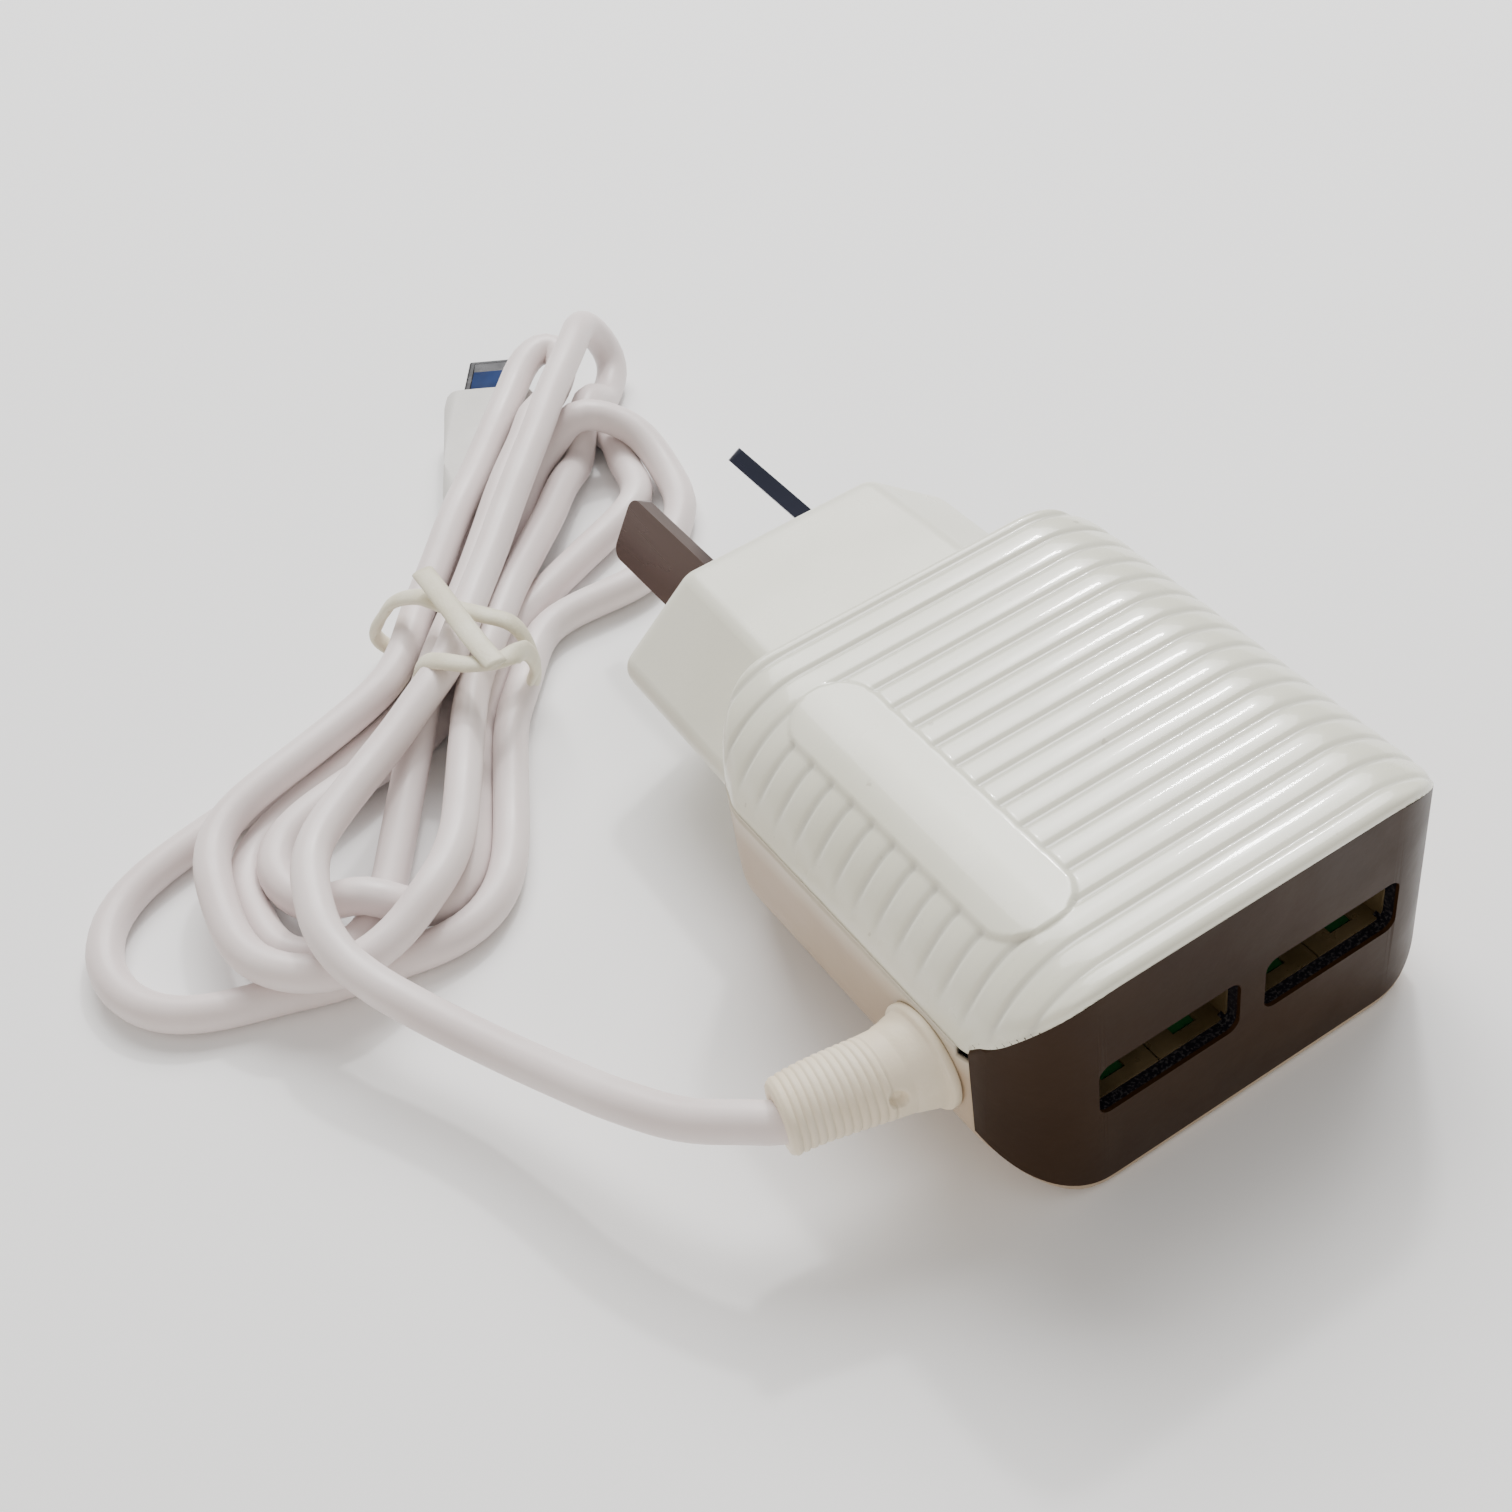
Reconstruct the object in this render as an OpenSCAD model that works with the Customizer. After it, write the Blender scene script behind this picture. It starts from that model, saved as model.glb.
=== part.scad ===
// Two-port USB wall charger with a fixed, bundled charging cord.
// The port face looks towards -Y, the mains blades point towards +Y, and the ribbed cover is on top.
// The origin is under the middle of the charger, on the surface that it lies on.

/* [Body] */
// Width of the body across the two ports
body_w = 43.6; // [43.2:0.1:44.4]
// Length of the body from the port face to its rear wall
body_l = 43.8; // [43:0.1:45]
// Height of the body
body_h = 24; // [23.8:0.1:24.6]
// Wall thickness of the cover and the lower shell
wall = 1.6; // [1.4:0.1:1.8]
// Radius of the shoulders between the top and the sides
shoulder_r = 9.6; // [9.2:0.1:9.8]
// Radius between the bottom and the sides
belly_r = 9.2; // [9:0.1:9.4]
// Radius of the upright corners
corner_r = 8.1; // [7.8:0.1:8.3]
// Height at which the cover meets the lower shell
parting_z = 16.4; // [16.2:0.1:16.8]

/* [Ribs and label pad] */
// Distance from one cover rib to the next
rib_pitch = 2.7; // [2.5:0.1:3]
// Depth of the groove between two ribs
groove_depth = 0.3; // [0.2:0.05:0.4]
// Width of the groove between two ribs
groove_w = 0.5; // [0.3:0.1:0.8]
// Height of the label pad above the ribs
pad_h = 0.35; // [0.2:0.05:0.5]
// Width of the label pad
pad_w = 7.4; // [6:0.2:8]
// Length of the label pad
pad_l = 30.4; // [28:0.2:31]

/* [Front panel and ports] */
// Thickness of the front panel
panel_t = 1.8; // [1.6:0.1:2]
// How far the panel wraps round each side
panel_wrap = 5.9; // [5.5:0.1:6.2]
// Width of the cover's lip above the panel
lip_top = 0.85; // [0.7:0.05:1]
// Width of the lower shell's lip below the panel
lip_bottom = 0.9; // [0.7:0.05:1]
// Distance between the centres of the two ports
port_pitch = 15.6; // [15.2:0.1:16]
// Height of the port centres
port_z = 12.1; // [12:0.05:12.2]
// Width of a port opening
port_w = 13.2; // [13.1:0.05:13.3]
// Height of a port opening
port_h = 5.6; // [5.5:0.05:5.8]
// Corner radius of a port opening
port_r = 1.1; // [0.8:0.1:1.4]

/* [Plug block and blades] */
// Length of the plug block behind the body
block_l = 19.8; // [19:0.1:21]
// Height of the middle of the block, where its side ridges are
block_z = 10.8; // [10.6:0.1:11]
// Height of the block from its flat bottom to its flat top
block_h = 14.8; // [14.4:0.1:15.2]
// Distance between the two blade centres
blade_pitch = 13.7; // [13.7:0.1:13.8]
// Width of a blade
blade_w = 6.35; // [6.2:0.05:6.5]
// Thickness of a blade
blade_t = 1.6; // [1.4:0.1:1.7]
// Length of a blade outside the block
blade_l = 17; // [16.5:0.1:18]
// Lean of each blade from the upright
blade_lean = 30; // [29:1:31]

/* [Cord] */
// Diameter of the charging cord
cord_d = 3.4; // [3.2:0.1:3.6]
// Height of the bundle's lower loops and of the tie round it
hank_h = 9.6; // [9:0.2:10.4]
// Height of the bundle's upper loops, which pass over the small plug
upper_h = 9.2; // [8.8:0.1:9.4]
// Width of the tie strip
tie_w = 1.6; // [1.4:0.1:2]

/* [Hidden] */
$fn = 64;
fit = 0.1;

total_l = body_l + block_l + blade_l;
front_y = -total_l / 2;
rear_y = front_y + body_l;
block_end_y = rear_y + block_l;
board_top = port_z - 2.9;
board_t = 1.6;
port_shell_y = front_y + panel_t + 0.2;
port_shell_l = 13.8;
relief_y = front_y + 12;
relief_z = 11.7;
// The cord from inside the charger to the bundle: straight out of the boot, then round to the rear.
LEAD = [[-18, relief_y, relief_z], [-26, relief_y, relief_z], [-33, -28, 11.5], [-36, -25.5, 11],
        [-39, -22, 10], [-42, -16.5, 9], [-44, -11.5, 8], [-47, -4, 7], [-50, 3, 7], [-52, 8, 7.5],
        [-53, 13, 8], [-52, 18, 8.5]];
// Circles that bound the lower and the upper loops of the bundle: x, y, radius.
LOWER_LOOPS = [[-60.5, 29.5, 11.5], [-48, 17.5, 6.5], [-37, 20.5, 7], [-29.5, 31, 4], [-28.5, 42.5, 9]];
UPPER_LOOPS = [[-24.5, 45, 8], [8.5, 79.5, 6], [3.5, 60, 6.5], [-6, 47, 4.5]];
TIE_AT = [-26.5, 43];
TIE_TURN = -62;
PLUG_AT = [-3, 79];
PLUG_TURN = 55;
PLUG_Z = 3;

// ---- Shared shapes ----

// Section of the body seen from the front, drawn with X across and Y as height.
module body_section(inset = 0) {
    w = body_w / 2 - inset;
    top = shoulder_r - inset;
    low = belly_r - inset;
    translate([-w, inset + low]) square([2 * w, body_h - 2 * inset - low - top]);
    translate([-w + low, inset]) square([2 * (w - low), body_h / 2]);
    translate([-w + top, body_h / 2]) square([2 * (w - top), body_h / 2 - inset]);
    for (side = [-1, 1]) {
        translate([side * (w - top), body_h - inset - top]) circle(top);
        translate([side * (w - low), inset + low]) circle(low);
    }
}

// A section drawn in X and Z, run along Y from y1 to y2.
module along_y(y1, y2) {
    translate([0, y2, 0]) rotate([90, 0, 0]) linear_extrude(y2 - y1) children();
}

// Outline of the body seen from above.
module body_plan(inset = 0) {
    w = body_w - 2 * inset;
    l = body_l - 2 * inset;
    r = corner_r - inset;
    translate([-w / 2, front_y + inset + r]) square([w, l - 2 * r]);
    translate([-w / 2 + r, front_y + inset]) square([w - 2 * r, l]);
    for (side = [-1, 1], end = [front_y + inset + r, rear_y - inset - r])
        translate([side * (w / 2 - r), end]) circle(r);
}

// The body's form, moved inwards by inset on every side.
module body_form(inset = 0) {
    intersection() {
        along_y(front_y, rear_y) body_section(inset);
        linear_extrude(body_h) body_plan(inset);
    }
}

// Section of the front panel: a little wider than the body, and short of its top and bottom.
module panel_section() {
    w = body_w / 2 + 0.15;
    low_z = lip_bottom;
    high_z = body_h - lip_top;
    translate([-w, low_z + belly_r]) square([2 * w, high_z - low_z - belly_r - shoulder_r]);
    translate([-w + belly_r, low_z]) square([2 * (w - belly_r), body_h / 2]);
    translate([-w + shoulder_r, body_h / 2]) square([2 * (w - shoulder_r), high_z - body_h / 2]);
    for (side = [-1, 1]) {
        translate([side * (w - shoulder_r), high_z - shoulder_r]) circle(shoulder_r);
        translate([side * (w - belly_r), low_z + belly_r]) circle(belly_r);
    }
}

// Six-sided section of the plug block: flat top and bottom, and a ridge along each side.
module block_section(flat, ridge, high) {
    hull() for (side = [-1, 1]) {
        for (end = [-1, 1])
            translate([side * (flat - 2.5), block_z + end * (high / 2 - 2.5)]) circle(2.5, $fn = 32);
        translate([side * (ridge - 2), block_z]) circle(2, $fn = 32);
    }
}

// Outline of a rectangle with round corners.
module round_rect(w, h, r) {
    square([w - 2 * r, h], center = true);
    square([w, h - 2 * r], center = true);
    for (x = [-1, 1], y = [-1, 1]) translate([x * (w / 2 - r), y * (h / 2 - r)]) circle(r);
}

// Frame of a swept tube: a level side vector and an up vector for each point of the route.
function run_at(p, i) = let (d = p[min(i + 1, len(p) - 1)] - p[max(i - 1, 0)]) d / norm(d);
function side_at(p, i) = let (d = run_at(p, i), s = [-d[1], d[0], 0]) s / norm(s);
function tube_ring(p, i, r, sides) = [for (k = [0 : sides - 1])
    p[i] + r * cos(360 * k / sides) * side_at(p, i)
         + r * sin(360 * k / sides) * cross(run_at(p, i), side_at(p, i))];

// A round cord or wire swept along a list of points; no stretch of it is upright.
module tube(p, d, sides = 8) {
    rings = len(p);
    points = [for (i = [0 : rings - 1]) each tube_ring(p, i, d / 2, sides)];
    walls = [for (i = [0 : rings - 2], k = [0 : sides - 1])
        each [[i * sides + k, (i + 1) * sides + (k + 1) % sides, i * sides + (k + 1) % sides],
              [i * sides + k, (i + 1) * sides + k, (i + 1) * sides + (k + 1) % sides]]];
    first_cap = [for (k = [0 : sides - 1]) k];
    last_cap = [for (k = [sides - 1 : -1 : 0]) (rings - 1) * sides + k];
    polyhedron(points = points, faces = concat([first_cap], walls, [last_cap]));
}

// ---- Housing ----

module panel_room() along_y(front_y - 1, front_y + panel_wrap) panel_section();

module block_room() {
    along_y(rear_y - 3, rear_y + 1) block_section(12.2 + fit, 18.2 + fit, block_h + 2 * fit);
}

// Cuts the grooves between the ribs, round the top and both shoulders.
module rib_grooves() {
    for (y = [front_y + 1.9 : rib_pitch : rear_y - 1])
        difference() {
            translate([-body_w, y - groove_w / 2, parting_z + 1.5]) cube([2 * body_w, groove_w, body_h]);
            along_y(y - groove_w, y + groove_w) body_section(groove_depth);
        }
}

module label_pad() {
    intersection() {
        difference() {
            along_y(front_y, rear_y) body_section(-pad_h);
            along_y(front_y - 1, rear_y + 1) body_section(0.8);
        }
        translate([-12.9, front_y + 22, body_h / 2]) linear_extrude(body_h) round_rect(pad_w, pad_l, 3.4);
    }
}

module top_cover() {
    color([0.87, 0.88, 0.84]) {
        difference() {
            body_form();
            translate([-body_w, -total_l, -1]) cube([2 * body_w, 2 * total_l, parting_z + 1]);
            body_form(wall);
            panel_room();
            block_room();
            rib_grooves();
        }
        label_pad();
    }
}

module lower_shell() {
    color([0.84, 0.80, 0.74]) {
        difference() {
            body_form();
            translate([-body_w, -total_l, parting_z]) cube([2 * body_w, 2 * total_l, body_h]);
            translate([-body_w, front_y - 1, body_h / 2]) cube([2 * body_w, panel_wrap + 1, body_h]);
            body_form(wall);
            panel_room();
            block_room();
            translate([-body_w / 2 - 1, relief_y, relief_z]) rotate([0, 90, 0]) cylinder(h = 4, r = 3.6 + fit);
        }
        // Posts that carry the board
        for (x = [-13, 13], y = [front_y + 8, rear_y - 8])
            translate([x, y, wall - 0.2]) cylinder(h = board_top - board_t - wall + 0.2, d = 3.2, $fn = 24);
    }
}

module port_hole(side) {
    translate([side * port_pitch / 2, 0, port_z])
        along_y(front_y - 1, front_y + panel_t + 1) round_rect(port_w, port_h, port_r);
}

module front_panel() {
    color([0.20, 0.14, 0.09]) difference() {
        intersection() {
            body_form();
            panel_room();
        }
        linear_extrude(body_h) body_plan(panel_t);
        port_hole(-1);
        port_hole(1);
    }
}

module plug_block() {
    color([0.87, 0.88, 0.84]) difference() {
        union() {
            hull() {
                along_y(rear_y - 3, rear_y + 1) block_section(12.2, 18.2, block_h);
                along_y(block_end_y - 1, block_end_y - 0.9) block_section(11.6, 17.9, block_h - 0.2);
                along_y(block_end_y - 0.1, block_end_y) block_section(10.9, 17.1, block_h - 1.6);
            }
            // Tabs that hold the block inside the body's rear wall
            for (z = [block_z - block_h / 2 - 1, block_z + block_h / 2 - 0.2])
                translate([-8, rear_y - 3, z]) cube([16, 1.2, 1.2]);
        }
        along_y(rear_y - 4, block_end_y - 3) block_section(10, 15.8, block_h - 3.6);
        for (side = [-1, 1]) blade_bar(side, fit);
    }
}

// ---- Mains side ----

// One flat blade with round tip corners; loose is the gap left round it.
module blade_bar(side, loose = 0) {
    w = blade_w + loose;
    tip_r = 1.3;
    tail = 8;
    translate([side * blade_pitch / 2, block_end_y - tail, block_z]) rotate([0, -side * blade_lean, 0])
        rotate([90, 0, 90]) linear_extrude(blade_t + loose, center = true) {
            translate([0, -w / 2]) square([tail + blade_l - tip_r, w]);
            translate([0, -w / 2 + tip_r]) square([tail + blade_l, w - 2 * tip_r]);
            for (edge = [-1, 1]) translate([tail + blade_l - tip_r, edge * (w / 2 - tip_r)]) circle(tip_r);
        }
}

module blade_left() color([0.55, 0.50, 0.47]) blade_bar(-1);

module blade_right() color([0.55, 0.50, 0.47]) blade_bar(1);

module mains_leads() {
    for (side = [-1, 1]) color([0.75, 0.1, 0.1])
        tube([[side * blade_pitch / 2, block_end_y - 8.2, block_z], [side * 7.4, rear_y + 6, block_z + 0.8],
              [side * 8.4, rear_y, block_z + 1.8], [side * 8.8, rear_y - 4, block_z + 1],
              [side * 9, rear_y - 5.4, board_top]], 1.5);
}

module fusible_resistor() {
    color([0.25, 0.45, 0.3]) {
        translate([-6.5, rear_y - 5.6, board_top + 2.2]) rotate([0, 90, 0]) cylinder(h = 7, d = 2.8, $fn = 32);
        for (x = [-7, 1]) {
            translate([x, rear_y - 5.6, board_top]) cylinder(h = 2.5, d = 0.6, $fn = 16);
            translate([x < 0 ? x : x - 0.6, rear_y - 5.9, board_top + 1.9]) cube([0.6, 0.6, 0.6]);
        }
    }
}

module bridge_rectifier() {
    color([0.12, 0.12, 0.13]) translate([2.3, rear_y - 8, board_top]) cube([5, 4.4, 2.6]);
}

module standing_capacitor(x, y, d, h) {
    translate([x, y, board_top]) rotate_extrude()
        polygon([[0, 0], [d / 2, 0], [d / 2, 0.8], [d / 2 - 0.3, 1.1], [d / 2, 1.4], [d / 2, h],
                 [d / 2 - 0.5, h], [d / 2 - 0.6, h - 0.2], [0, h - 0.2]]);
}

module input_capacitors() {
    color([0.1, 0.12, 0.2]) for (y = [rear_y - 9.6, rear_y - 18.2]) standing_capacitor(11.9, y, 8, 11);
}

// ---- Board and output side ----

module main_board() {
    color([0.2, 0.42, 0.2]) intersection() {
        translate([0, 0, board_top - board_t]) linear_extrude(board_t) body_plan(2.6);
        translate([-body_w / 2, front_y + 2.4, 0]) cube([body_w, body_l - 6, body_h]);
    }
}

module transformer_core() {
    color([0.18, 0.17, 0.17]) for (end = [0, 1])
        translate([-6.6, rear_y - 23 + end * 11.1, board_top + 1.4]) difference() {
            cube([12.6, 2.2, 10]);
            translate([3, -1, 4.2]) cube([6.6, 1.6, 1.6]);
        }
}

module transformer_bobbin() {
    color([0.1, 0.1, 0.1]) translate([-6.9, rear_y - 20.8, board_top]) {
        cube([13.2, 8.9, 1.4]);
        translate([0, 0, 11.4]) cube([13.2, 8.9, 1]);
    }
}

module transformer_winding() {
    color([0.9, 0.75, 0.1]) translate([-0.3, rear_y - 16.35, board_top + 1.4])
        linear_extrude(10) round_rect(12.4, 8.9, 2);
}

module y_capacitor() {
    color([0.15, 0.4, 0.75]) translate([-14, rear_y - 22, board_top + 4.6]) rotate([90, 0, 0]) {
        cylinder(h = 2.6, d = 6.6);
        for (x = [-2.4, 2.4]) translate([x, -3.4, 1.3]) rotate([90, 0, 0]) cylinder(h = 1.2, d = 0.6, $fn = 16);
    }
}

module optocoupler() {
    color([0.13, 0.13, 0.14]) translate([9.5, front_y + 16.6, board_top]) {
        translate([0, 0, 0.6]) cube([6.4, 4.6, 3.2]);
        for (x = [-0.6, 6.4], y = [0.7, 3.2]) translate([x, y, 0]) cube([0.6, 0.7, 2.2]);
    }
}

module output_capacitors() {
    color([0.1, 0.12, 0.2]) for (y = [rear_y - 9.4, rear_y - 16.2]) standing_capacitor(-13.4, y, 6.3, 9);
}

module controller_chip() {
    color([0.12, 0.12, 0.13]) translate([-2.5, front_y + 22, board_top - board_t - 1.5]) cube([5, 4, 1.5]);
}

module output_diode() {
    color([0.14, 0.14, 0.15]) translate([-9, front_y + 22, board_top - board_t - 2.2]) cube([4.4, 3.6, 2.2]);
}

module chip_resistors() {
    color([0.15, 0.15, 0.17]) for (i = [0 : 5])
        translate([-7 + 2.6 * i, front_y + 31, board_top - board_t - 0.55]) cube([1.25, 2, 0.55]);
}

// Folded steel shell of a USB socket, open at the front, with spring windows above and below.
module usb_shell(side) {
    outer = [13.1, port_shell_l, 5.7];
    color([0.62, 0.60, 0.55]) translate([side * port_pitch / 2, port_shell_y, port_z]) difference() {
        translate([-outer[0] / 2, 0, -outer[2] / 2]) cube(outer);
        translate([-6.25, -1, -2.55]) cube([12.5, port_shell_l + 0.7, 5.1]);
        for (x = [-3.4, 3.4], z = [-2.7, 2.7]) translate([x - 1.1, 3.2, z - 0.5]) cube([2.2, 4.6, 1]);
    }
}

module usb_shell_left() usb_shell(-1);

module usb_shell_right() usb_shell(1);

// Plastic insert of a USB socket: a block at the back and a tongue below the shell's top.
module usb_tongue(side) {
    color([0.08, 0.08, 0.09]) translate([side * port_pitch / 2, port_shell_y, port_z]) {
        translate([-6.15, 10, -2.5]) cube([12.3, 3.4, 5]);
        translate([-5.55, 1.6, 0]) cube([11.1, 8.5, 1.84]);
    }
}

module usb_tongue_left() usb_tongue(-1);

module usb_tongue_right() usb_tongue(1);

module usb_contacts(side) {
    color([0.85, 0.68, 0.3]) for (x = [-3.5, -1, 1, 3.5])
        translate([side * port_pitch / 2 + x - 0.5, port_shell_y + 2.2, port_z - 0.25]) cube([1, 7.8, 0.25]);
}

module usb_contacts_left() usb_contacts(-1);

module usb_contacts_right() usb_contacts(1);

// ---- Cord ----

// Ringed boot that holds the cord in the side of the lower shell.
module strain_relief() {
    rings = 12;
    pitch = 0.64;
    ring_start = 12 - rings * pitch;
    function taper(t) = 3.75 - 1.25 * t / 12;
    profile = concat(
        [[cord_d / 2 + 0.05, -wall - 1.2], [4.8, -wall - 1.2], [4.8, -wall], [3.6, -wall], [3.6, 0], [4.85, 0],
         [4.85, 0.9], [4.3, 1.1], [3.95, 2]],
        [for (i = [0 : rings - 1]) each [[taper(ring_start + i * pitch), ring_start + i * pitch + 0.06],
                                         [taper(ring_start + i * pitch), ring_start + i * pitch + 0.42],
                                         [taper(ring_start + i * pitch) - 0.2, ring_start + i * pitch + 0.48],
                                         [taper(ring_start + i * pitch) - 0.2, ring_start + i * pitch + 0.62]]],
        [[2.45, 12], [cord_d / 2 + 0.05, 12]]);
    color([0.88, 0.86, 0.81]) translate([-body_w / 2, relief_y, relief_z]) rotate([0, -90, 0])
        rotate_extrude() polygon(profile);
}

// The outer wire runs over the inner one, so that the two stay apart down to the board.
module cord_wires() {
    color([0.75, 0.1, 0.1]) tube([[-18, relief_y, relief_z + 0.8], [-15.6, relief_y + 1, relief_z + 0.8],
        [-15, relief_y + 4, relief_z], [-14.9, relief_y + 5.5, board_top]], 1, 6);
    color([0.1, 0.1, 0.1]) tube([[-18, relief_y, relief_z - 0.8], [-17.2, relief_y + 1.5, relief_z - 0.8],
        [-17, relief_y + 4, relief_z - 1.2], [-16.9, relief_y + 5, board_top]], 1, 6);
}

module cord_lead() color([0.86, 0.83, 0.84]) tube(LEAD, cord_d);

module loops_outline(circles) hull() for (c = circles) translate([c[0], c[1]]) circle(c[2], $fn = 32);

module cord_hank() {
    color([0.86, 0.83, 0.84]) difference() {
        union() {
            linear_extrude(hank_h) loops_outline(LOWER_LOOPS);
            linear_extrude(upper_h) loops_outline(UPPER_LOOPS);
        }
        difference() {
            tie_band(0, 2 * fit);
            tie_band(-1, 1);
        }
    }
}

// A flat-sided ring round the bundle; grow makes it larger, and extra makes it wider.
module tie_band(grow, extra) {
    translate([TIE_AT[0], TIE_AT[1], hank_h / 2]) rotate([0, 0, TIE_TURN]) rotate([90, 0, 0])
        linear_extrude(tie_w + extra, center = true) round_rect(19 + 2 * grow, hank_h + 2 * grow, 4);
}

module twist_tie() {
    color([0.85, 0.83, 0.76]) {
        difference() {
            tie_band(0, 0);
            tie_band(-1, 2);
        }
        // The strip's loose end, laid forwards over the band and held to it by the twist
        translate([TIE_AT[0], TIE_AT[1] - 4, hank_h + 0.5]) cube([tie_w, 13, 0.8], center = true);
        translate([TIE_AT[0], TIE_AT[1], hank_h]) cube([1, 1, 1], center = true);
    }
}

// ---- Small plug on the end of the cord ----

module at_plug() translate([PLUG_AT[0], PLUG_AT[1], PLUG_Z]) rotate([0, 0, PLUG_TURN - 90]) children();

module plug_overmould() {
    color([0.80, 0.80, 0.78]) at_plug() rotate([90, 0, 0]) {
        linear_extrude(15) round_rect(10, 6, 2);
        hull() {
            translate([0, 0, 14.9]) linear_extrude(0.1) round_rect(10, 6, 2);
            translate([0, 0, 22]) linear_extrude(0.1) circle(2.4);
        }
    }
}

module plug_shell() {
    color([0.5, 0.52, 0.56]) at_plug() rotate([90, 0, 0]) translate([0, 0, -5.2]) difference() {
        linear_extrude(5.2) round_rect(6.85, 1.85, 0.4);
        translate([0, 0, -1]) linear_extrude(5.4) round_rect(6.25, 1.25, 0.3);
    }
}

module plug_tongue() {
    color([0.08, 0.08, 0.09]) at_plug() translate([-2.6, 0.8, -0.55]) cube([5.2, 3.6, 0.6]);
}

module plug_contacts() {
    color([0.85, 0.68, 0.3]) for (i = [-2 : 2])
        at_plug() translate([i * 0.65 - 0.15, 0.8, 0.05]) cube([0.3, 3.4, 0.12]);
}

top_cover();
lower_shell();
front_panel();
plug_block();
blade_left();
blade_right();
mains_leads();
main_board();
usb_shell_left();
usb_shell_right();
usb_tongue_left();
usb_tongue_right();
usb_contacts_left();
usb_contacts_right();
transformer_core();
transformer_bobbin();
transformer_winding();
input_capacitors();
output_capacitors();
bridge_rectifier();
fusible_resistor();
y_capacitor();
optocoupler();
controller_chip();
output_diode();
chip_resistors();
strain_relief();
cord_wires();
cord_lead();
cord_hank();
twist_tie();
plug_overmould();
plug_shell();
plug_tongue();
plug_contacts();
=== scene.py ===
# %% [markdown]
# # A two-port wall charger with its cord tied in a bundle
# The engineering model is loaded first and stays where it is. It gives every place and size, and this
# script makes the skins, the cord and the finishes around it. Sizes below are in millimetres.

# %% Load the frame
import math

import bmesh
import bpy
import numpy as np
from mathutils import Matrix, Vector


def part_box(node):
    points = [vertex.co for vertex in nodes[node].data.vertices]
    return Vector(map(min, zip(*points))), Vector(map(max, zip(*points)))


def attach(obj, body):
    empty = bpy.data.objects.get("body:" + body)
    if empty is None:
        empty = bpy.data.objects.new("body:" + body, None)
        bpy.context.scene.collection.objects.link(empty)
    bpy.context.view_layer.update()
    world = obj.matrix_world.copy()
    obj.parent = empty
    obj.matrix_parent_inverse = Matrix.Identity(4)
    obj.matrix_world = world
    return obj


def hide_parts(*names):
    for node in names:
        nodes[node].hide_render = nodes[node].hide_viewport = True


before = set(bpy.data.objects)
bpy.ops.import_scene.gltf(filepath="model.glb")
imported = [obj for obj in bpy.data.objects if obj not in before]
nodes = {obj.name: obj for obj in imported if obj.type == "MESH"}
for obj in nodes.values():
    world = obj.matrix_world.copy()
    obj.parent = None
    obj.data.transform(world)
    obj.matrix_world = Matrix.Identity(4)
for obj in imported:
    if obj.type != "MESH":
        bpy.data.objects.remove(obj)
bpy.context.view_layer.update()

MM = 0.001
print("CAD nodes:", len(nodes))

# %% [markdown]
# ## Places taken from the frame
# The housing's sizes are read from the frame, so the skins follow the CAD model when its housing changes.
# They could be typed again here, but then two files would have to agree. The shoulder, belly and corner
# radii are the ones that the housing is drawn with. The label pad is the cover's highest face, so its rise
# is taken off to reach the ribs. The cord, the camera, the pad and the block's section are typed in.

# %% Driving sizes
shell_low, shell_high = [[c / MM for c in corner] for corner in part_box("lower_shell")]
cover_high = [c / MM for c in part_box("top_cover")[1]]
block_high = [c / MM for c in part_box("plug_block")[1]]
relief_low, relief_high = [[c / MM for c in corner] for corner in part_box("strain_relief")]
front_y, rear_y, block_end = shell_low[1], shell_high[1], block_high[1]
half_w, part_z = shell_high[0], shell_high[2]
cad_pad_rise = 0.35
top_z = cover_high[2] - cad_pad_rise
shoulder_r, belly_r, corner_r = 9.6, 9.2, 8.1
panel_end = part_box("front_panel")[1][1] / MM
relief_y, relief_z = (relief_low[1] + relief_high[1]) / 2, (relief_low[2] + relief_high[2]) / 2
relief_tip = relief_low[0]
print("body", round(2 * half_w, 2), "wide,", round(rear_y - front_y, 2), "long,", round(top_z, 2), "high")

# %% [markdown]
# ## Camera
# A hand-held view from the front left, about 45 degrees above the table and rolled a little. A constraint
# could aim the camera at the charger, but it can't roll it, so the three angles are set directly.

# %% Camera
lens = bpy.data.cameras.new("camera")
lens.lens, lens.sensor_width = 51.8, 36
lens.shift_x = 0.0128
camera = bpy.data.objects.new("camera", lens)
camera.location = (-0.07205, -0.11348, 0.14275)
camera.rotation_euler = [math.radians(a) for a in (44.7, 7.5, -32.6)]
bpy.context.collection.objects.link(camera)
bpy.context.scene.camera = camera
print("camera", round(camera.location.length, 3), "m from the origin")

# %% [markdown]
# ## Small helpers
# Every mesh piece ends as an object at the origin with its place in its vertices, riding on the one body.
# Edges are rounded and shapes are cut across in the same way all through, so both have a helper.

# %% Helpers
def add_piece(name, bm, replaced=(), smooth=True):
    bmesh.ops.recalc_face_normals(bm, faces=bm.faces)
    mesh = bpy.data.meshes.new(name)
    bmesh.ops.scale(bm, vec=(MM, MM, MM), verts=bm.verts)
    bm.to_mesh(mesh)
    bm.free()
    mesh.polygons.foreach_set("use_smooth", [smooth] * len(mesh.polygons))
    piece = bpy.data.objects.new(name, mesh)
    bpy.context.collection.objects.link(piece)
    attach(piece, "root")
    if replaced:
        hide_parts(*replaced)
    print(name, "has", len(mesh.polygons), "faces")
    return piece


def level_normals(piece):
    weighted = piece.modifiers.new("level_normals", "WEIGHTED_NORMAL")
    weighted.keep_sharp = True


def round_edges(bm, edges, radius, segments):
    bmesh.ops.bevel(bm, geom=edges, offset=radius, offset_type="OFFSET", affect="EDGES",
                    segments=segments, profile=0.5, material=-1)


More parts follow.
